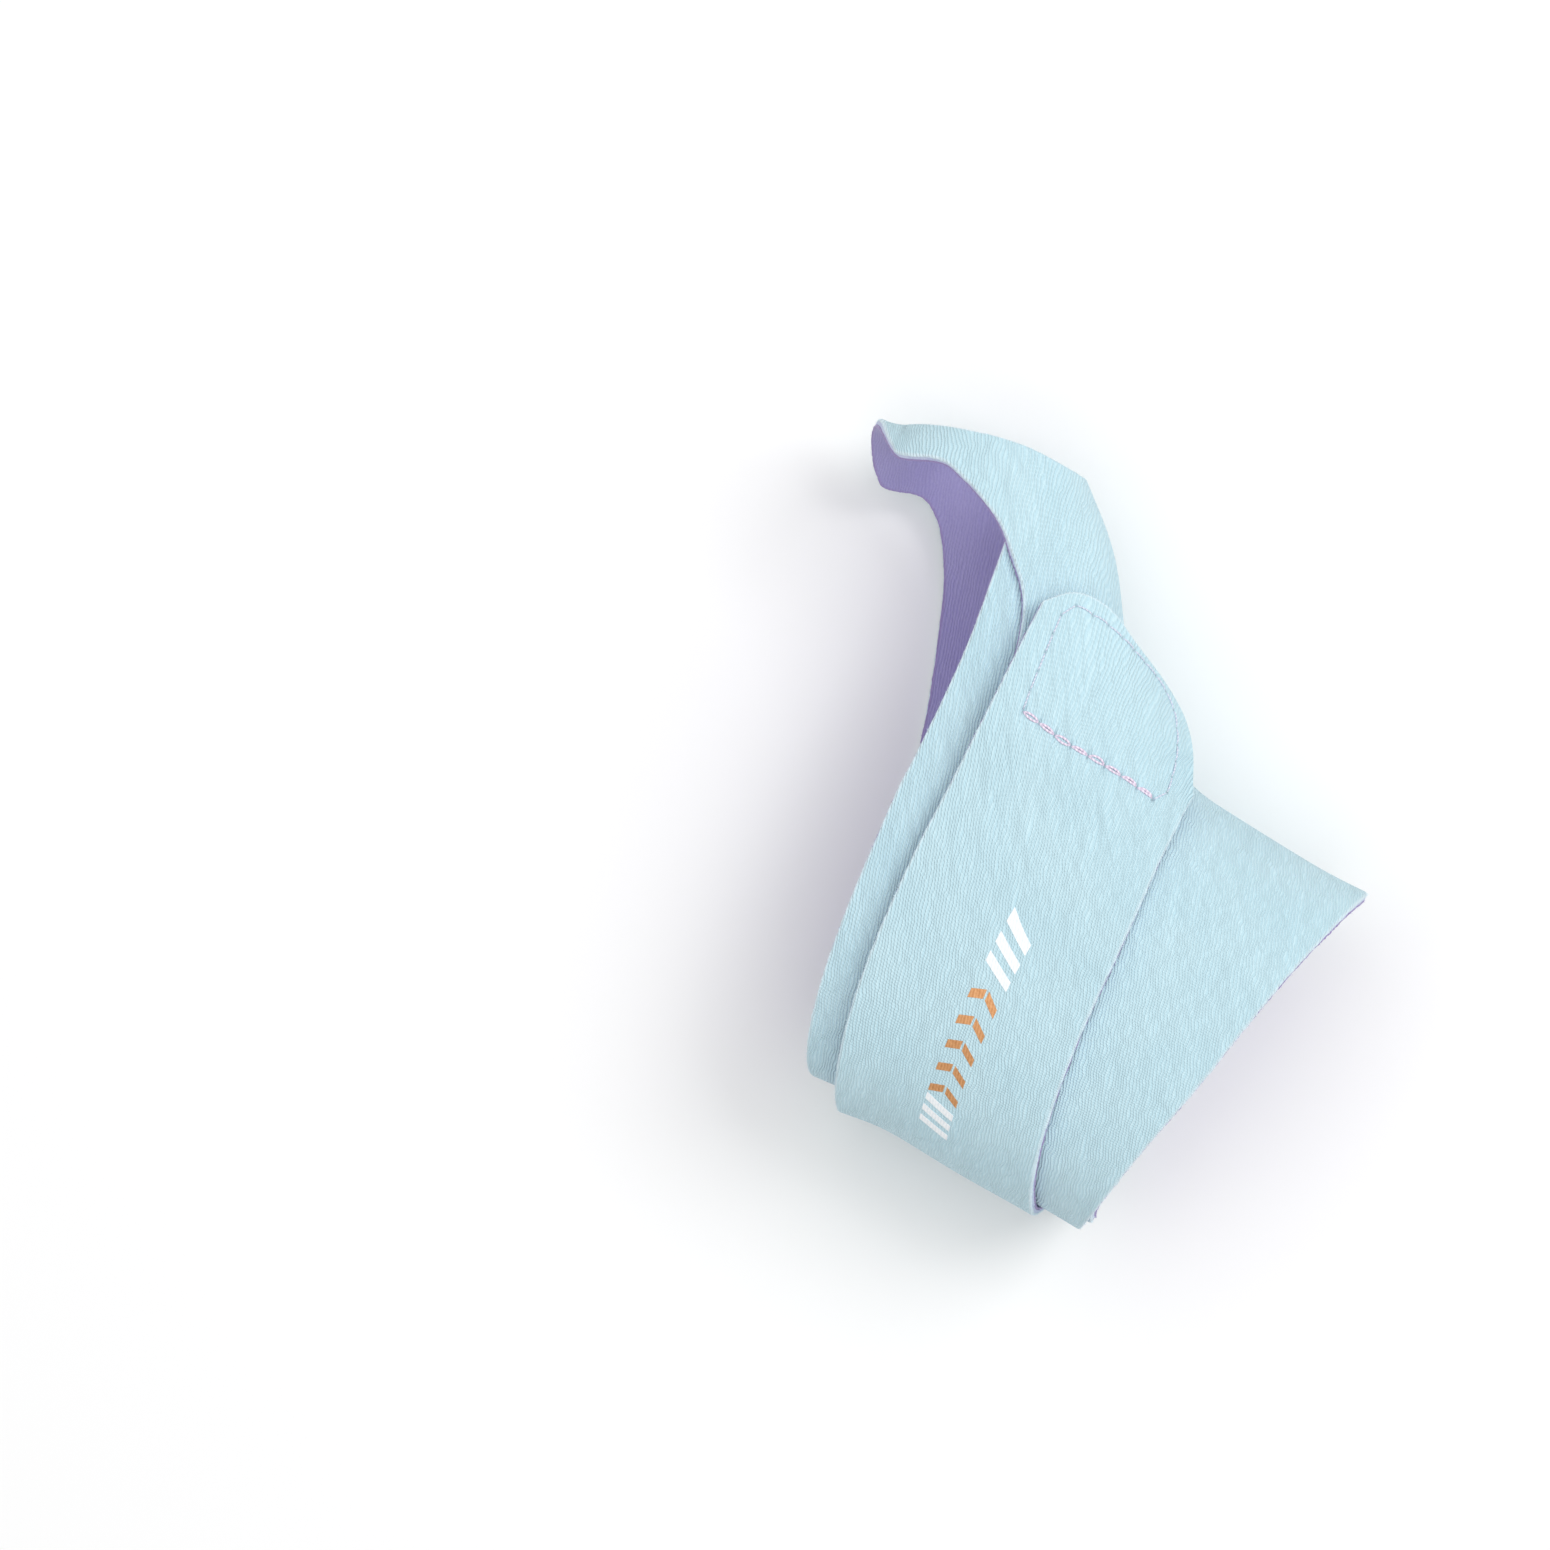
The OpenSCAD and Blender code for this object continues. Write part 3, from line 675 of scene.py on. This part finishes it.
# the two sewn lines of the tab: degrees past the fold, place across
CROSS_PATH = [[1.3, 0.862], [1.4, 0.7], [1.5, 0.52], [1.6, 0.34], [1.7, 0.17]]
OUTLINE_PATH = [[1.6, 0.865], [6.2, 0.881], [14.3, 0.897], [21.2, 0.912], [24, 0.9], [25.2, 0.862],
                [25.7, 0.82], [28, 0.733], [31, 0.621], [33.4, 0.52], [34.7, 0.43], [34.2, 0.35],
                [31.4, 0.281], [25.5, 0.222], [19, 0.174], [8.8, 0.132], [4.6, 0.122], [2.4, 0.135],
                [1.7, 0.165]]


def on_tab(past, v, h):
    past, v = np.asarray(past, float), np.asarray(v, float)
    place, stand = tab_place(past, v)
    turn, y = place[..., 0], place[..., 1]
    height = level(turn) + stand + pucker(past, v) + undulation(turn, y) + LAMINATE + h
    return base_at(turn, y) + normal_at(turn, y) * height[..., None]


def walk_path(path, spacing):
    """Points at even spacing along a path on the tab, as (past, v)."""
    path = np.asarray(path, float)
    f = np.linspace(0, 1, 40)[:, None]
    fine = np.concatenate([mix(a, b, f) for a, b in zip(path[:-1], path[1:])])
    p = on_tab(fine[:, 0], fine[:, 1], 0)
    s = np.concatenate([[0], np.cumsum(np.linalg.norm(np.diff(p, axis=0), axis=1))])
    count = round(s[-1] / spacing)
    marks = np.linspace(0, s[-1], count + 1)
    return np.stack([np.interp(marks, s, fine[:, 0]), np.interp(marks, s, fine[:, 1])], -1)


def needle_holes(marks, depth, length):
    """Places on the tab where the thread goes in, each with a gather along the ribs."""
    for past, v in marks:
        a, b = on_tab(past, v, 0), on_tab(past + 1.0, v + 0.0025, 0)
        yield a, (b - a) / np.linalg.norm(b - a), depth, length


cross_marks = walk_path(CROSS_PATH, STITCH_LEN)
outline_marks = walk_path(OUTLINE_PATH, STITCH_LEN)
holes = list(needle_holes(cross_marks, depth=0.26, length=1.1))
holes += list(needle_holes(outline_marks, depth=0.16, length=0.25))
tab_step = 0.006 * 1.0
uu, vv = np.meshgrid(lines(0, 1, tab_step, dense=(1,)), lines(0, 1, tab_step, dense=(0, 1)),
                     indexing="ij")
tab_past = mix(-FOLD_BACK, curve(TAB_REACH, vv), uu)
tab_places, tab_stand = tab_place(tab_past, vv)
tab_grid = grid(tab_places, tab_stand + pucker(tab_past, vv), (False, True, True, True),
                needles=holes)

STRETCHES = {"wrap": wrap_grid, "strap": strap_grid, "tab": tab_grid}
SEEDS = {"wrap": 10, "strap": 20, "tab": 30}
FLAT = {"wrap": (0.118, 0.40), "strap": (0.036, 0.058), "tab": (0.034, 0.024)}


def place_of(turn, v, h=LAMINATE):
    turn, v = np.asarray(turn, float), np.asarray(v, float)
    y = across(turn, v)
    height = level(turn) + undulation(turn, y) + h
    return base_at(turn, y) + normal_at(turn, y) * height[..., None]


# each bend of the cloth runs from the first of its two places to the second
STRAP_BEND, FOLD_BEND = (753.0, 771.0), (-5.4, 0.8)     # turns, and degrees past the fold
strap_bend = [place_of(turn, 0.5) * MM for turn in STRAP_BEND]
fold_bend = [place_of(fold_turn(0.5) + past, 0.5, LAMINATE + TAB_RISE) * MM for past in FOLD_BEND]


def attach(ob, stretch):
    if stretch == "wrap":
        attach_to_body(ob, "wrap")
    elif stretch == "strap":
        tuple(strap_bend[0])
        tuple(strap_bend[1])
        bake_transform(ob)
    else:
        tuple(fold_bend[0])
        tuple(fold_bend[1])
        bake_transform(ob)


def stray_fibres(name, g, low, high, material, per_mm, longest, seed):
    """Fine fibres standing off the cut edges between two heights of the cloth."""
    random = np.random.default_rng(seed)
    points, faces, uv = [], [], []
    for walk in rings(g):
        at = np.array([w[:2] for w in walk])
        inner = at + np.array([w[2:] for w in walk])
        here = (at[:, 0], at[:, 1])
        free = g["far"][here] < 1e-6
        p, nrm, h = g["base"][here], g["normal"][here], g["height"][here]
        away = p - g["base"][inner[:, 0], inner[:, 1]]
        away /= np.maximum(np.linalg.norm(away, axis=1, keepdims=True), 1e-6)
        step = np.roll(p, -1, 0) - p
        gap = np.linalg.norm(step, axis=1)
        ok = free & np.roll(free, -1) & (gap < 3)
        quota = np.floor(gap * per_mm * ok + random.random(len(walk))).astype(int) * ok
        k = np.repeat(np.arange(len(walk)), quota)
        count = len(k)
        root = p[k] + step[k] * random.random((count, 1))
        root = root + nrm[k] * (h[k] + random.uniform(low, high, count))[:, None] - away[k] * 0.03
        along = step[k] / np.maximum(gap[k], 1e-6)[:, None]
        lean = away[k] + along * random.normal(0, 0.55, (count, 1))
        lean = lean + nrm[k] * random.normal(0.12, 0.4, (count, 1))
        lean /= np.linalg.norm(lean, axis=1, keepdims=True)
        size = longest * random.random(count) ** 1.8 + 0.10
        mid = root + lean * size[:, None] * 0.55
        curl = np.cross(lean, random.normal(0, 1, (count, 3)))
        tip = root + lean * size[:, None] + curl * size[:, None] * 0.35
        flat = np.cross(lean, random.normal(0, 1, (count, 3)))
        flat *= 0.017 / np.maximum(np.linalg.norm(flat, axis=1, keepdims=True), 1e-6)
        start = sum(len(q) for q in points)
        corners = [root - flat, root + flat, mid + flat * 0.8, mid - flat * 0.8, tip]
        points.append(np.stack(corners, 1).reshape(-1, 3))
        uv.append(np.repeat(g["uv"][here][k], 5, axis=0))
        first = start + 5 * np.arange(count)
        faces += np.stack([first, first + 1, first + 2, first + 3], 1).tolist()
        faces += np.stack([first + 3, first + 2, first + 4], 1).tolist()
    uv = np.vstack(uv)
    return new_mesh(name, np.vstack(points), faces, material, uv, np.full(len(uv), 1.0))


for stretch, g in STRETCHES.items():
    seed = SEEDS[stretch]
    lining, area_l = ply(f"{stretch}_lining_knit", g, 0.0, LINING, lining_mat, soften=0.12,
                         bulge=0.05, reach=0.04, seed=seed)
    core, _ = ply(f"{stretch}_foam", g, LINING, LINING + CORE, core_mat, soften=0.0,
                  bulge=-0.02, reach=0.0, seed=seed + 1)
    cover, area_c = ply(f"{stretch}_cover_knit", g, LINING + CORE, LAMINATE, cover_mat, soften=0.3,
                        bulge=0.03, reach=0.0, seed=seed + 2)
    fuzz = stray_fibres(f"{stretch}_cover_fuzz", g, LINING + CORE, LAMINATE - 0.1, fuzz_mat,
                        per_mm=9, longest=0.32, seed=seed + 3)
    lint = stray_fibres(f"{stretch}_lining_fuzz", g, 0.1, LINING, lint_mat,
                        per_mm=8, longest=0.34, seed=seed + 4)
    for ob, node, slot in ((lining, "lining", "lining_knit"), (core, "core", "foam_core"),
                           (cover, "cover", "cover_knit")):
        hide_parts(f"{stretch}_{node}")
    for ob in (lining, core, cover, fuzz, lint):
        attach(ob, stretch)
    width, length = FLAT[stretch]


# ---------------------------------------------------------------- hook patch
PATCH_START = 1.0                               # degrees past the fold
PATCH_V0, PATCH_V1 = 0.085, (0.885, 0.93)       # its two sides across the tab; one runs on a slant
PATCH_STEP = 0.04


def patch_place(u, w):
    """Place on the patch as (past, v), u away from the fold and w across the tab."""
    v = mix(PATCH_V0, mix(*PATCH_V1, u), w)
    return mix(PATCH_START, curve(PATCH_REACH, w), u), v


patch_lines = lines(0, 1, PATCH_STEP, dense=(0, 1))
uu, ww = np.meshgrid(patch_lines, patch_lines, indexing="ij")
past, v = patch_place(uu, ww)
places, stand = tab_place(past, v)
patch_grid = grid(places, stand + pucker(past, v), (True, True, True, True))
backing, _ = ply("hook_tape_backing", patch_grid, -BACKING - PATCH_GAP, -PATCH_GAP, tape_mat,
                 soften=0.1, bulge=0.02, seed=41)
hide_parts("hook_backing")
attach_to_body(backing, "tab")


def tube(path, radius, sides, up):
    """Points and faces of a closed tube along a path."""
    path = np.asarray(path, float)
    tangent = np.gradient(path, axis=0)
    tangent /= np.linalg.norm(tangent, axis=1, keepdims=True)
    side = np.cross(tangent, up)
    side /= np.maximum(np.linalg.norm(side, axis=1, keepdims=True), 1e-6)
    lift = np.cross(side, tangent)
    radius = np.broadcast_to(radius, len(path))
    angles = np.arange(sides) * 2 * math.pi / sides
    ring = [path + (side * math.cos(a) + lift * math.sin(a)) * radius[:, None] for a in angles]
    points = np.stack(ring, 1).reshape(-1, 3)
    faces = []
    for r in range(0, (len(path) - 1) * sides, sides):
        for s in range(sides):
            after = (s + 1) % sides
            faces.append((r + s, r + after, r + sides + after, r + sides + s))
    faces += [tuple(range(sides))[::-1], tuple(range((len(path) - 1) * sides, len(path) * sides))]
    length = np.concatenate([[0], np.cumsum(np.linalg.norm(np.diff(path, axis=0), axis=1))])
    uv = np.stack([np.repeat(length, sides), np.tile(angles * 0.14, len(path))], -1)
    return points, faces, uv


def tubes(name, parts, material):
    points, faces, uv, start = [], [], [], 0
    for p, f, t in parts:
        points.append(p)
        uv.append(t)
        faces += [tuple(k + start for k in face) for face in f]
        start += len(p)
    return new_mesh(name, np.vstack(points), faces, material, np.vstack(uv))


HOOK_ROWS, HOOK_COLUMNS = 19, 24
HOOK_BEND = [(0, 0), (0.02, 0.25), (0.0, 0.5), (0.08, 0.68), (0.22, 0.72), (0.32, 0.62),
             (0.34, 0.5)]
HOOK_RADII = np.array([0.11, 0.085, 0.08, 0.08, 0.075, 0.07, 0.05])
HOOK_SINK = 0.05                                # of a hook's root into the tape


def patch_hooks():
    """Rows of small moulded hooks on the skin side of the tape, turned alternately."""
    random = np.random.default_rng(50)
    for r in range(HOOK_ROWS):
        for c in range(HOOK_COLUMNS):
            u, w = (r + 0.5 + 0.25 * (c % 2)) / HOOK_ROWS, (c + 0.5) / HOOK_COLUMNS
            if not 0.03 < u < 0.97:
                continue
            past, v = patch_place(np.array(u), np.array(w))
            place, stand = tab_place(past, v)
            turn, y = place[..., 0], place[..., 1]
            n = normal_at(turn, y)
            root = base_at(turn, y) + n * (level(turn) + stand + pucker(past, v)
                                           + undulation(turn, y) - BACKING - PATCH_GAP + HOOK_SINK)
            along = base_at(turn + 1, y) - base_at(turn - 1, y)
            along = along / np.linalg.norm(along) * (1 if r % 2 else -1)
            along = along + np.cross(n, along) * random.normal(0, 0.12)
            size = 0.98 + random.normal(0, 0.02)
            path = [root + along * a * size - n * h * size for a, h in HOOK_BEND]
            yield tube(path, HOOK_RADII, 5, np.cross(n, along))


hooks = tubes("hook_tape_hooks", list(patch_hooks()), hook_mat)
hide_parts("hook_field")
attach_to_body(hooks, "tab")


# ---------------------------------------------------------------- stitching
def stitches(marks, radius, sink, seed, spread=0.0):
    """A sewn line: every stitch dives at both ends, and a back-tacked one has two strands."""
    random = np.random.default_rng(seed)
    for a, b in zip(marks[:-1], marks[1:]):
        f = np.linspace(0, 1, 13)
        for side in ((-1, 1) if spread else (0,)):
            q = mix(a, b, mix(0.04, 0.96, f)[:, None])
            bow = np.sin(math.pi * f) ** 0.7 * (side * spread + random.normal(0, 0.10))
            q = q + np.stack([bow, 0 * f], -1)
            h = radius * 0.8 - (sink + radius * 1.7) * (2 * np.abs(f - 0.5)) ** 5
            turn = fold_turn(q[:, 1]) + q[:, 0]
            up = normal_at(turn, across(turn, q[:, 1]))
            thickness = radius * (1 - 0.35 * (2 * np.abs(f - 0.5)) ** 4)
            yield tube(on_tab(q[:, 0], q[:, 1], h), thickness, 8, up)


outline_sewn = stitches(outline_marks, THREAD * 0.44, sink=0.12, seed=60)
outline = tubes("patch_outline_stitching", list(outline_sewn), thread_mat)
cross_sewn = stitches(cross_marks, THREAD * 0.62, sink=0.2, seed=61, spread=0.42)
cross = tubes("patch_cross_stitching", list(cross_sewn), cross_mat)
for ob, node in ((outline, "outline_stitching"), (cross, "cross_stitching")):
    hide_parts(node)
    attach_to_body(ob, "tab")

# ---------------------------------------------------------------- print
PRINT_V, PRINT_DROP = (0.43, 0.575), 0.00125
MARK_W, SLANT = 2.4, 2.2
WHITE_BARS, COPPER_MARKS = 3, 5
WHITE_0, WHITE_STEP, COPPER_STEP = 772, 4.4, 7.2
PRINT_T = 0.05
CHEVRON_GAP = 0.006                             # half the slit between a chevron's two arms


def plate(x, v0, v1, lean, width=MARK_W):
    """One slanted printed mark from turn x, as a thin closed plate on the cloth."""
    uu, kk = np.meshgrid(np.linspace(0, 1, 13), np.linspace(0, 1, 15), indexing="ij")
    turn = x + width * uu + lean * kk
    v = mix(v0, v1, kk) - PRINT_DROP * (turn - WHITE_0)
    p = [place_of(turn, v, LAMINATE + h) for h in (PRINT_T, 0.0)]
    n, m = uu.shape[0] - 1, uu.shape[1] - 1
    index = np.arange((n + 1) * (m + 1)).reshape(n + 1, m + 1)
    quads = np.stack([index[:-1, :-1], index[1:, :-1], index[1:, 1:], index[:-1, 1:]], -1)
    quads = quads.reshape(-1, 4)
    ring = np.concatenate([index[:-1, 0], index[-1, :-1], index[:0:-1, -1], index[0, :0:-1]])
    after = np.roll(ring, -1)
    count = index.size
    walls = np.stack([after, ring, ring + count, after + count], -1)
    faces = [tuple(f) for f in np.vstack([quads, quads[:, ::-1] + count, walls]).tolist()]
    uv = cloth_uv(turn, base_at(turn, across(turn, v))).reshape(-1, 2)
    return np.vstack([q.reshape(-1, 3) for q in p]), faces, np.vstack([uv, uv])


copper_0 = WHITE_0 + WHITE_BARS * WHITE_STEP + 1
white_1 = copper_0 + COPPER_MARKS * COPPER_STEP
mid = sum(PRINT_V) / 2
white = [plate(start + k * WHITE_STEP, *PRINT_V, SLANT)
         for k in range(WHITE_BARS) for start in (WHITE_0, white_1)]
copper_turns = [copper_0 + k * COPPER_STEP for k in range(COPPER_MARKS)]
copper = [plate(turn, PRINT_V[0], mid - CHEVRON_GAP, SLANT) for turn in copper_turns]
copper += [plate(turn + SLANT, mid + CHEVRON_GAP, PRINT_V[1], -SLANT) for turn in copper_turns]
for name, parts, material, node, slot in (
        ("print_white_bars", white, white_mat, "print_white", "white_print"),
        ("print_copper_chevrons", copper, copper_mat, "print_copper", "copper_print")):
    ob = tubes(name, parts, material)
    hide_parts(node)
    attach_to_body(ob, "strap")

# ---------------------------------------------------------------- floor, light, camera
FLOOR_HALF, FLOOR_DROP = 3.0, 0.0002
floor_mesh = bpy.data.meshes.new("floor")
floor_z = cad_box[0][2] - FLOOR_DROP
corners = [(x * FLOOR_HALF, y * FLOOR_HALF, floor_z)
           for x, y in ((-1, -1), (1, -1), (1, 1), (-1, 1))]
floor_mesh.from_pydata(corners, [], [(0, 1, 2, 3)])
floor = bpy.data.objects.new("floor", floor_mesh)
floor_mat = Nodes("floor_paint", 0.9)
floor_mesh.materials.append(floor_mat.finish([0.93, 0.93, 0.93, 1]))
scene.collection.objects.link(floor)

WORLD_LIGHT = 0.54
world = bpy.data.worlds.new("studio")
scene.world = world
world.use_nodes = True
background = world.node_tree.nodes["Background"]
background.inputs["Color"].default_value = (1, 1, 1, 1)
background.inputs["Strength"].default_value = WORLD_LIGHT


def area_light(name, at, toward, size, power):
    """Square white lamp at a place, turned towards another; all in metres and watts."""
    light = bpy.data.lights.new(name, "AREA")
    light.size, light.energy, light.color = size, power, (1, 1, 1)
    ob = bpy.data.objects.new(name, light)
    direction = np.array(toward, float) - np.array(at, float)
    ob.location = at
    ob.rotation_euler = Vector(direction).to_track_quat("-Z", "Y").to_euler()
    scene.collection.objects.link(ob)


middle = [(a + b) / 2 for a, b in zip(*cad_box)]
area_light("key", (0.62, -0.30, 0.95), middle, size=0.55, power=4.6)
area_light("fill", (0.0, 0.15, 1.25), middle, size=1.3, power=7.0)

# the camera looks straight down at the back of the hand; FIELD is what it sees at VIEW_CENTRE
VIEW_CENTRE = Vector((-0.0005, 0.050, 0.030))
VIEW_UP = Vector((0.830, 0.557, 0.0)).normalized()
FIELD, DISTANCE = 0.217, 0.9
SENSOR = 36                         # mm
camera_data = bpy.data.cameras.new("camera")
camera_data.sensor_width = SENSOR
camera_data.lens = SENSOR * DISTANCE / FIELD
camera = bpy.data.objects.new("camera", camera_data)
back = Vector((0, 0, 1))
right = VIEW_UP.cross(back)
camera.matrix_world = Matrix((
    (right.x, VIEW_UP.x, back.x, VIEW_CENTRE.x),
    (right.y, VIEW_UP.y, back.y, VIEW_CENTRE.y),
    (right.z, VIEW_UP.z, back.z, VIEW_CENTRE.z + DISTANCE),
    (0, 0, 0, 1)))
scene.collection.objects.link(camera)
scene.camera = camera
